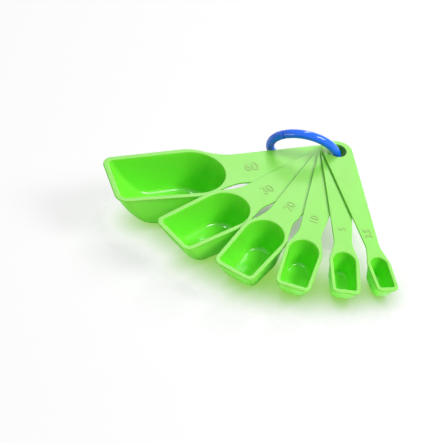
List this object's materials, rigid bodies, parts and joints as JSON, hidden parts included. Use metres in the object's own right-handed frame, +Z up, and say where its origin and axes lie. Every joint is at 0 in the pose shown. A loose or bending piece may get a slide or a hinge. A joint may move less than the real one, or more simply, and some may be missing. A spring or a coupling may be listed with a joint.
{
  "type": "measuring cup set",
  "caption": "Measuring scoops in graded sizes, each a straight-fronted bowl with a flat handle, fanned out on a split snap ring through holes in the handle ends.",
  "frame": {"origin": "on the table, under the middle of the set's bounding box", "axes": "+Z up from the table, +X from the largest scoop's side to the small scoops' side, -Y to the front, where the small bowls point"},
  "size_m": [0.19, 0.149, 0.0496],
  "materials": {
    "scoop_plastic": "satin outside and on the handles, glossy inside the bowls",
    "ring_plastic": "gloss"
  },
  "bodies": {
    "scoop_1": {"scoop_1": "scoop_plastic"},
    "scoop_2": {"scoop_2": "scoop_plastic"},
    "scoop_3": {"scoop_3": "scoop_plastic"},
    "scoop_4": {"scoop_4": "scoop_plastic"},
    "scoop_5": {"scoop_5": "scoop_plastic"},
    "scoop_6": {"scoop_6": "scoop_plastic"},
    "ring": {"snap_ring": "ring_plastic"}
  },
  "joints": [
    {"name": "fan_2", "type": "hinge", "parent": "scoop_1", "child": "scoop_2", "pos_m": [0.05928, 0.05692, 0.02229], "axis": [0.1489, -0.0889, 0.9848], "range_deg": [0, 40]},
    {"name": "fan_3", "type": "hinge", "parent": "scoop_2", "child": "scoop_3", "pos_m": [0.05928, 0.05692, 0.02229], "axis": [0.1489, -0.0889, 0.9848], "range_deg": [0, 40]},
    {"name": "fan_4", "type": "hinge", "parent": "scoop_3", "child": "scoop_4", "pos_m": [0.05928, 0.05692, 0.02229], "axis": [0.1489, -0.0889, 0.9848], "range_deg": [0, 40]},
    {"name": "fan_5", "type": "hinge", "parent": "scoop_4", "child": "scoop_5", "pos_m": [0.05928, 0.05692, 0.02229], "axis": [0.1489, -0.0889, 0.9848], "range_deg": [0, 40]},
    {"name": "fan_6", "type": "hinge", "parent": "scoop_5", "child": "scoop_6", "pos_m": [0.05928, 0.05692, 0.02229], "axis": [0.1489, -0.0889, 0.9848], "range_deg": [0, 40]},
    {"name": "ring_spin", "type": "hinge", "parent": "scoop_1", "child": "ring", "pos_m": [0.03809, 0.06122, 0.02578], "axis": [0.1899, 0.8936, 0.4067], "continuous": true}
  ]
}
